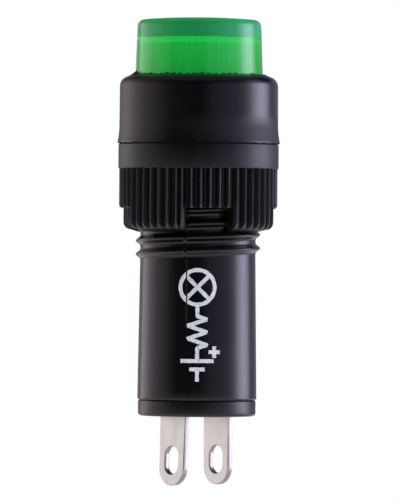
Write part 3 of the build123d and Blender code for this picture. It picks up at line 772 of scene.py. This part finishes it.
def makeNut():
    # One closed wall round the axis, r and z as functions of the angle. Over the ribs r = rib radius less a
    # share of the rib's depth that grows with the distance from its middle, cut to a quarter circle above
    # the floor; the floor is the nut's end, or a notch's. Inside r = bore + groove(distance from the crest).
    n = nut
    ribTurn = 360 / n["ribCount"]
    halfNotch = np.array(n["notchRibs"]) * ribTurn / 2
    across = np.degrees(np.array(n["acrossRib"]) / n["ribRadius"])
    across[-1] = ribTurn / 2
    across = np.concatenate([-across[:0:-1], across])[:-1]
    # the ribs left of the front notch were cut a third of a rib round from the others
    ribAngles = (np.arange(n["ribCount"]) * ribTurn + 180) % 360 - 180
    shifted = ribAngles + n["leftShift"]
    moved = (shifted > n["leftGroup"][0]) & (shifted < n["leftGroup"][1])
    middles = n["notchAngle"] + np.where(moved, shifted, ribAngles)
    even = (middles[:, None] + across[None, :]).reshape(-1)
    # a pair of columns stands at each notch's edge, so that its side is upright
    notchMiddles = n["notchAngle"] + np.arange(4) * 90 + np.array(n["notchShift"])
    edges = np.concatenate([notchMiddles - halfNotch, notchMiddles + halfNotch])
    pair = n["edgePair"]
    angles = np.concatenate([even % 360, (edges + pair) % 360, (edges - pair) % 360])
    toEdge = np.abs((angles[:, None] - edges[None, :] + 180) % 360 - 180).min(1)
    angles = np.unique(np.round(angles[toEdge > pair * 0.5], 4))

    # rows: collar, step, ribs, rounded end, underside, inner thread upwards, mouth
    ribTop = n["top"] - n["collarHeight"]
    collar = roundedPath([
        (n["boreRadius"] + n["boreMouth"], n["top"], 0),
        (n["collarRadius"], n["top"], n["collarCorner"]),
        (n["collarRadius"], ribTop, n["collarCorner"]),
        (n["ribRadius"] - n["ribDepth"], ribTop, 0),
    ], 4)[:-1]
    quarter = 1 - np.cos(np.linspace(0, math.pi / 2, n["cornerSteps"]))
    ribRows = np.unique(np.concatenate([
        [ribTop, ribTop - 0.05], n["bottom"] + n["endCorner"] * quarter,
        n["bottom"] + n["notchDepth"] + n["notchCorner"] * quarter,
    ]))[::-1]
    underRows = np.array([0.25, 0.5, 0.75])
    innerRows = np.linspace(n["bottom"], n["top"] - n["boreMouth"], n["boreRows"])
    ribPart = slice(len(collar), len(collar) + len(ribRows))

    columns = len(angles)
    turn = np.radians(angles)
    fromMiddle = (angles[:, None] - notchMiddles[None, :] + 180) % 360 - 180
    inNotch = (np.abs(fromMiddle) < halfNotch[None, :]).any(1)
    floor = np.where(inNotch, n["bottom"] + n["notchDepth"], n["bottom"])
    corner = np.where(inNotch, n["notchCorner"], n["endCorner"])

    # a rib's height over the root falls evenly from its middle, with a small round tip
    fromFront = (angles - n["notchAngle"] + 180) % 360 - 180
    inLeft = (fromFront > n["leftGroup"][0]) & (fromFront < n["leftGroup"][1])
    away = (fromFront - np.where(inLeft, n["leftShift"], 0.0)) / ribTurn
    away = np.radians(np.abs(away - np.round(away)) * ribTurn) * n["ribRadius"]
    slope = np.sqrt(away ** 2 + n["ribTip"] ** 2) - n["ribTip"]
    climb = np.clip(1 - slope / (n["ribHalfFoot"] - n["ribTip"] * 0.8), 0, 1)
    outline = n["ribRadius"] - n["ribDepth"] * (1 - climb)
    ribZ = np.maximum(ribRows[:, None], floor[None, :])
    lift = np.clip(corner - (ribZ - floor), 0, corner)
    inset = corner - np.sqrt(np.maximum(corner ** 2 - lift ** 2, 0))
    ribR = np.minimum(outline[None, :], n["ribRadius"] - inset)

    innerZ = np.maximum(innerRows[:, None], floor[None, :])
    turns = crestTurns(turn[None, :], innerZ)
    groove = ridgeHeight((turns - np.round(turns)) * thread["pitch"] * thread["grooveShare"])
    innerR = n["boreRadius"] + (thread["crest"] + thread["clearance"] - n["boreRadius"]) * groove
    # the end face falls a little towards the bore, except in a notch
    boss = np.where(inNotch, 0.0, n["endBoss"])
    underR = ribR[-1] + (innerR[0] - ribR[-1]) * underRows[:, None]
    underZ = floor[None, :] - boss[None, :] * underRows[:, None]
    innerZ[0] = innerZ[0] - boss
    radius = np.concatenate([spread(collar[:, 0], columns), ribR, underR, innerR])
    heights = np.concatenate([spread(collar[:, 1], columns), ribZ, underZ, innerZ])
    turnGrid = np.repeat(turn[None, :], len(radius), 0)

    # painted highlight: light grey lines along the rib crests, strongest at their rounded ends, partly
    # handling wear
    paintedCrestLine = np.zeros_like(radius)
    paintedCrestLine[ribPart] = bell(away, n["crestWidth"])[None, :]
    ended = np.clip((corner[None, :] + floor[None, :] - heights) / n["endWearAndHighlight"], 0, 1)
    wearAndHighlight = paintedCrestLine * (0.75 + 0.15 * smoothNoise(turnGrid * 9 + heights * 2, 1.7) + 0.6 * ended)
    # the collar's lower and upper edges carry a little flash
    rim = bell(heights - ribTop, 0.06) * (radius > n["ribRadius"])
    heights = heights - rim * n["collarRagged"] * smoothNoise(turnGrid * 23, 3.1, 4)
    brim = bell(heights - n["top"], 0.05) * (radius > n["ribRadius"])
    heights = heights - brim * n["topRagged"] * (0.5 + 0.5 * smoothNoise(turnGrid * 27, 0.7, 4))
    # the grooves keep the mould's rough grain, the collar is smoother
    dull = np.full(radius.shape, n["collarDull"])
    dull[ribPart] = np.where(away > n["crestSpan"], 1.0, n["crestDull"])[None, :]
    return buildSurface("nutShell", turned(radius, turnGrid, heights),
                        attributes={"wearAndHighlight": wearAndHighlight, "dull": dull})


place(makeNut(), "nut", ["mounting_nut"], "black_moulding", nutAbs)
print("nut made")


# Wiring marks: raised white ink on the plain barrel, a generic lamp, resistor and cell sign

marks = {
    "width": 0.3, "rise": 0.018, "riseStep": 0.002, "sink": 0.02, "spacing": 0.12, "ragged": 0.1,
    "circle": 1.35, "circleMiddle": -11.35, "circlePoints": 64,
    # each stroke's corners: millimetres round the barrel from its front, and height
    "strokes": [
        [(-0.955, -12.305), (0.955, -10.395)], [(-0.955, -10.395), (0.955, -12.305)],
        [(0, -12.7), (0, -13.6), (0.75, -13.85), (-0.75, -14.35), (0.75, -14.85), (-0.75, -15.35),
         (0.75, -15.85), (0, -16.1), (0, -16.95)],
        [(-1.3, -17.1), (1.3, -17.1)], [(-0.6, -17.75), (0.6, -17.75)], [(0, -17.9), (0, -18.7)],
        [(0.9, -16.4), (1.8, -16.4)], [(1.35, -15.95), (1.35, -16.85)],
    ],
}


def inkStroke(corners, order):
    # A ribbon of box section along a path on the barrel: point = path + half width x its left-hand normal,
    # r = the barrel's radius there + rise or - sink; its ends close in a point.
    m = marks
    corners = np.array(corners, float)
    length = np.concatenate([[0], np.cumsum(np.hypot(*np.diff(corners, axis=0).T))])
    even = np.linspace(0, length[-1], max(int(length[-1] / m["spacing"]), 4))
    steps = np.unique(np.round(np.concatenate([even, length]), 4))
    path = np.stack([np.interp(steps, length, corners[:, k]) for k in (0, 1)], 1)
    ahead = np.gradient(path, axis=0)
    ahead = ahead / np.linalg.norm(ahead, axis=1)[:, None]
    half = m["width"] / 2 * (1 + m["ragged"] * smoothNoise(steps * 9, order + 0.5))
    sides = np.array([-1, 1, 1, -1])
    rise = m["rise"] + m["riseStep"] * order
    lifts = np.array([-m["sink"], -m["sink"], rise, rise])
    across = path[:, None, 0] - ahead[:, None, 1] * half[:, None] * sides
    height = path[:, None, 1] + ahead[:, None, 0] * half[:, None] * sides
    across = np.concatenate([np.full((1, 4), path[0, 0]), across, np.full((1, 4), path[-1, 0])])
    height = np.concatenate([np.full((1, 4), path[0, 1]), height, np.full((1, 4), path[-1, 1])])
    down = np.clip((housing["barrelTop"] - height) / (housing["barrelTop"] - housing["barrelEnd"]), 0, 1)
    surface = housing["rootRadius"] + (housing["endRadius"] - housing["rootRadius"]) * down
    lift = np.repeat(lifts[None, :], len(across), 0)
    lift[[0, -1]] = 0
    grid = turned(surface + lift, -math.pi / 2 + across / surface, height)
    return buildSurface("inkStroke", grid, wrapRows=False, poles=(0, len(grid) - 1))


def makeMarks():
    # a circle and the strokes, joined into one piece
    m = marks
    turn = np.linspace(0, 2 * math.pi, m["circlePoints"])
    circle = np.stack([m["circle"] * np.sin(turn), m["circleMiddle"] + m["circle"] * np.cos(turn)], 1)
    joined = bmesh.new()
    for order, corners in enumerate([circle, *m["strokes"]]):
        stroke = inkStroke(corners, order)
        joined.from_mesh(stroke.data)
        bpy.data.meshes.remove(stroke.data)
    mesh = bpy.data.meshes.new("printMarks")
    joined.to_mesh(mesh)
    joined.free()
    piece = bpy.data.objects.new("printMarks", mesh)
    scene.collection.objects.link(piece)
    return piece


place(makeMarks(), "lamp", [], "white_nylon", whiteInk)
print("marks made")


# Gasket: a thin ring with a slightly ragged rim

gasket = {
    "top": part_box("gasket")[1][2] / mm, "bottom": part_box("gasket")[0][2] / mm,
    "radius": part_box("gasket")[1][0] / mm, "hole": 5.0, "corner": 0.03, "ragged": 0.05, "columns": 360,
}


def makeGasket():
    # The ring's section carried round the axis; its rim's radius falls by up to the ragged depth.
    g = gasket
    profile = roundedPath([
        (g["hole"], g["bottom"], 0), (g["hole"], g["top"], g["corner"]),
        (g["radius"], g["top"], g["corner"]), (g["radius"], g["bottom"], g["corner"]),
        (g["hole"], g["bottom"], 0),
    ], 3)[:-1]
    angles = fullTurn(g["columns"])
    grid = spinProfile(profile, angles)
    rim = (profile[:, 0] > g["radius"] - g["corner"] * 1.5)[:, None]
    ragged = 1 - g["ragged"] / g["radius"] * (0.5 + 0.5 * smoothNoise(angles * 37, 2.2))
    grid[..., :2] *= np.where(rim, ragged[None, :], 1.0)[..., None]
    return buildSurface("gasketRing", grid)


place(makeGasket(), "gasket", ["gasket"], "black_rubber", finishes["gasketRubber"])
print("gasket made")


# Lens: domed end, polished outside, frosted bore inside

lens = {
    "top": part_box("lens")[1][2] / mm, "bottom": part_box("lens")[0][2] / mm,
    "radius": 4.85, "seatRadius": 5.01, "mouth": 5.37, "dome": 0.22, "corner": 0.5, "seatCorner": 0.08,
    "boreRadius": 3.3, "endWall": 1.58, "boreCorner": 0.35, "rimHeight": 0.5, "rowPair": 0.01,
    "columns": 192, "domeRows": 14,
}


def makeLens():
    # A closed (r, z) profile carried round the axis: a dome that is part of a sphere, with z = top - R + the
    # root of (R squared - r squared), then a tapered side, the seat and the blind bore.
    e = lens
    sphere = (e["radius"] ** 2 + e["dome"] ** 2) / (2 * e["dome"])
    across = np.linspace(0, e["radius"] - e["corner"], e["domeRows"])
    dome = np.stack([across, e["top"] - sphere + np.sqrt(sphere ** 2 - across ** 2)], 1)
    boreTop = e["top"] - e["endWall"]
    rim = boreTop - e["rimHeight"]
    step = e["rowPair"]
    taper = (e["seatRadius"] - e["radius"]) / (e["top"] - e["mouth"])
    # pairs of rows stand where the end wall and the bore's rim stop, so that the haze changes in one step
    pair = [(e["radius"] + taper * (e["top"] - z), z, 0) for z in (boreTop + step, boreTop)]
    side = roundedPath([
        (*dome[-2], 0), (e["radius"], e["top"] - e["dome"] * 0.94, e["corner"]), *pair,
        (e["seatRadius"], e["mouth"], 0), (e["seatRadius"], e["bottom"], e["seatCorner"]),
        (e["boreRadius"], e["bottom"], 0),
    ], 8)[1:]
    bore = roundedPath([
        (e["boreRadius"], e["bottom"], 0), (e["boreRadius"], rim, 0), (e["boreRadius"], rim + step, 0),
        (e["boreRadius"], boreTop, e["boreCorner"]), (0, boreTop, 0),
    ], 10)[1:]
    profile = np.concatenate([dome[:-1], side, bore])
    grid = spinProfile(profile, fullTurn(e["columns"]))
    frosted = np.zeros(grid.shape[:2])
    frosted[len(dome) + len(side) - 2:] = 1
    thick = np.where(frosted > 0, grid[..., 2] > rim, grid[..., 2] > boreTop)
    return buildSurface("lensBody", grid, wrapRows=False, poles=(0, len(profile) - 1), slots=frosted,
                        attributes={"thick": thick.astype(float)})


place(makeLens(), "lamp", ["lens"], "green_lens", greenAcrylic, boreFrost)
print("lens made")


# Base plug: a cap with a spigot in the barrel

plug = {
    "top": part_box("base_plug")[1][2] / mm, "bottom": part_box("base_plug")[0][2] / mm,
    "radius": 4.63, "corner": 0.26, "seamCorner": 0.14, "spigotRadius": 3.56, "spigotCorner": 0.1,
    "columns": 160,
}


def makePlug():
    # The cap's and the spigot's (r, z) profile carried round the axis.
    p = plug
    seat = housing["barrelEnd"]
    profile = roundedPath([
        (0, p["bottom"], 0), (p["radius"], p["bottom"], p["corner"]), (p["radius"], seat, p["seamCorner"]),
        (p["spigotRadius"], seat, 0), (p["spigotRadius"], p["top"], p["spigotCorner"]), (0, p["top"], 0),
    ], 6)
    grid = spinProfile(profile, fullTurn(p["columns"]))
    return buildSurface("plugCap", grid, wrapRows=False, poles=(0, len(profile) - 1))


place(makePlug(), "lamp", ["base_plug"], "black_moulding", plugAbs)
print("plug made")


# Terminals: a flat blade with a slot, its stem in the plug and its tail above

terminal = {
    "halfWidth": 1.4, "thickness": 0.5, "tailHalf": 0.65, "spacing": 4.76, "turn": 44.5,
    "exit": plug["bottom"], "stemTop": plug["top"],
    "tailTop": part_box("terminal_positive")[1][2] / mm, "tip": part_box("terminal_positive")[0][2] / mm,
    "slotHalf": 0.7, "slotLong": 1.1, "slotMargin": 0.9, "edge": 0.09, "flatStep": 0.03,
    "cutReach": 1.6, "cutFade": 0.8, "slotCut": 0.7, "faceCut": 0.25,
    "columns": 96, "slotColumns": 24,
}


def outlineReach(direction, middle):
    # Distance from the slot's middle to the blade's outline: half width over the direction's sine at the
    # side, the circle's far crossing at the round tip, height over the cosine at the shoulder and the tail.
    t = terminal
    across = np.maximum(np.abs(np.sin(direction)), 1e-9)
    up = np.cos(direction)
    side = t["halfWidth"] / across
    centre = t["tip"] + t["halfWidth"] - middle
    down = centre * up
    tip = down + np.sqrt(np.maximum(down ** 2 - centre ** 2 + t["halfWidth"] ** 2, 0))
    reach = np.where(side * up < centre, tip, side)
    shoulder = (t["stemTop"] - middle) / np.maximum(up, 1e-9)
    tailSide = t["tailHalf"] / across
    tailEnd = (t["tailTop"] - middle) / np.maximum(up, 1e-9)
    inTail = shoulder * across < t["tailHalf"]
    capped = np.where(inTail, np.minimum(tailSide, tailEnd), shoulder)
    return np.where((up > 0) & (side > shoulder), capped, reach)


def slotReach(direction):
    # distance from the slot's middle to its own outline, worked out the same way: straight with round ends
    t = terminal
    across = np.maximum(np.abs(np.sin(direction)), 1e-9)
    up = np.abs(np.cos(direction))
    side = t["slotHalf"] / across
    centre = t["slotLong"] - t["slotHalf"]
    end = centre * up + np.sqrt(np.maximum(t["slotHalf"] ** 2 - (centre * across) ** 2, 0))
    return np.where(side * up < centre, side, end)


def bladeDirections(middle):
    # even directions, ones close to both sides of each corner, and ones to even points of the slot's outline
    t = terminal
    rise = t["stemTop"] - middle
    corners = np.arctan2([t["halfWidth"], t["tailHalf"], t["tailHalf"]], [rise, rise, t["tailTop"] - middle])
    nudge = 2e-4
    beside = np.concatenate([corners - nudge, corners + nudge])
    straight = 2 * (t["slotLong"] - t["slotHalf"])
    along = np.linspace(0, 1, t["slotColumns"], endpoint=False)
    bend = np.linspace(0, math.pi, t["slotColumns"])
    slotX = np.concatenate([np.full(len(along), t["slotHalf"]), t["slotHalf"] * np.cos(bend)])
    slotZ = np.concatenate([straight * (along - 0.5), straight / 2 + t["slotHalf"] * np.sin(bend)])
    quarter = np.arctan2(np.abs(slotX), slotZ)
    toSlot = np.concatenate([quarter, -quarter, math.pi - quarter, quarter - math.pi])
    toSlot = (toSlot + math.pi) % (2 * math.pi) - math.pi
    even = np.linspace(-math.pi, math.pi, t["columns"], endpoint=False)
    return np.unique(np.round(np.concatenate([even, beside, -beside, toSlot]), 5))


def makeTerminal(name, sign, lean):
    # A loop across the wall, carried round the slot: distance = slot + (outline - slot) x weight + shift,
    # x and z = distance x sine and cosine of the direction. The loop's edges are quarter circles.
    t = terminal
    middle = t["tip"] + t["slotMargin"] + t["slotLong"]
    direction = bladeDirections(middle)
    inner = slotReach(direction)
    outer = outlineReach(direction, middle)
    e, half = t["edge"], t["thickness"] / 2
    arc = np.linspace(0, math.pi / 2, 4)
    # (weight, shift, depth) rows: outer edge, front face, slot edge, and the back as their mirror image
    rows = [(1, -e * (1 - math.cos(k)), half - e + e * math.sin(k)) for k in arc]
    rows += [(1, -e - t["flatStep"], half), (0.5, 0, half), (0, e + t["flatStep"], half)]
    rows += [(0, e * (1 - math.sin(k)), half - e + e * math.cos(k)) for k in arc]
    rows += [(weight, shift, -depth) for weight, shift, depth in reversed(rows)]
    weight, shift, depth = np.array(rows).T[:, :, None]
    distance = inner + (outer - inner) * weight + shift
    x = distance * np.sin(direction)
    z = middle + distance * np.cos(direction)

    # bare brass shows on the edges near the tip and round the slot
    nearTip = np.clip((t["tip"] + t["cutReach"] - z) / t["cutFade"], 0, 1)
    bare = np.where(weight == 1, nearTip, t["slotCut"])
    onEdge = (np.abs(depth) > half - e * 0.9) & (np.abs(depth) < half - e * 0.1)
    cut = np.where(weight == 0.5, 0.0, bare * np.where(onEdge, 1.0, t["faceCut"]))
    wall = np.clip((half - np.abs(depth)) / e, 0, 1) + np.zeros_like(x)

    # the blade leans from where it leaves the plug, stands off the axis and is turned with its pair
    bend = -math.radians(lean) * sign
    swing = np.minimum(z - t["exit"], 0.0)
    aside = depth + swing * math.sin(bend) + sign * t["spacing"] / 2
    z = z + swing * (math.cos(bend) - 1)
    turn = math.radians(t["turn"])
    grid = np.stack([
        aside * math.cos(turn) - x * math.sin(turn), aside * math.sin(turn) + x * math.cos(turn), z,
    ], -1)
    return buildSurface(name, grid, attributes={"cut": cut, "wall": wall}, sharpAngle=50)


place(makeTerminal("bladePositive", 1, 0.0), "lamp", ["terminal_positive"], "plated_brass", tinnedBlade)
place(makeTerminal("bladeNegative", -1, 2.0), "lamp", ["terminal_negative"], "plated_brass", tinnedBlade)
print("terminals made")
